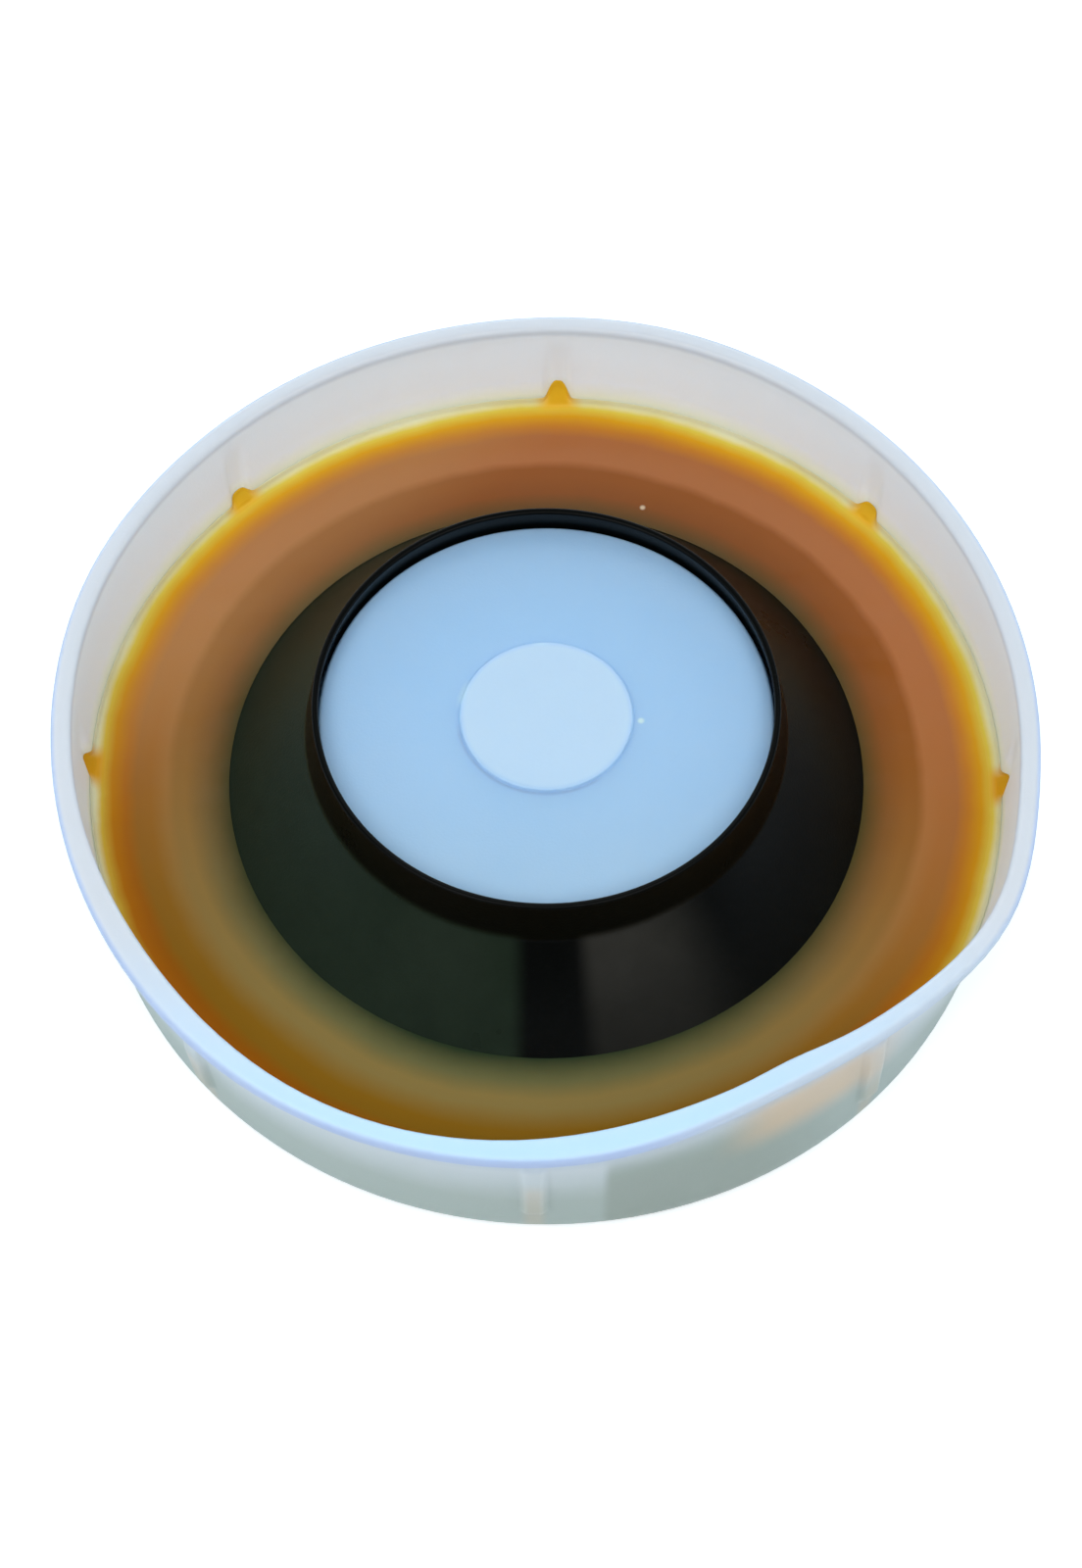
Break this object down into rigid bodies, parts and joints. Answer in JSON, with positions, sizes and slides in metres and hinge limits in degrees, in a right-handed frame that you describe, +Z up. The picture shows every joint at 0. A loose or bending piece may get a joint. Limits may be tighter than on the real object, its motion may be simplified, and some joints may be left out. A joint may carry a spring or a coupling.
{
  "type": "toilet pan seal",
  "caption": "Amber wax pan seal cast round a black plastic horn, in its frosted fluted tub with a hollow pedestal under the horn.",
  "frame": {"origin": "on the axis, in the plane of the tub's foot", "axes": "+Z up along the axis, towards the horn's open end; +X to the right in the picture, -Y towards its viewer"},
  "size_m": [0.1508, 0.151, 0.0394],
  "materials": {
    "frosted_polyethylene": "thin translucent moulding, smooth with a soft sheen",
    "amber_wax": "poured wax, glossy and slightly see-through at its edges",
    "black_polyethylene": "moulded, satin"
  },
  "bodies": {
    "root": {"tub": "frosted_polyethylene", "wax_ring": "amber_wax", "horn": "black_polyethylene"}
  },
  "joints": []
}
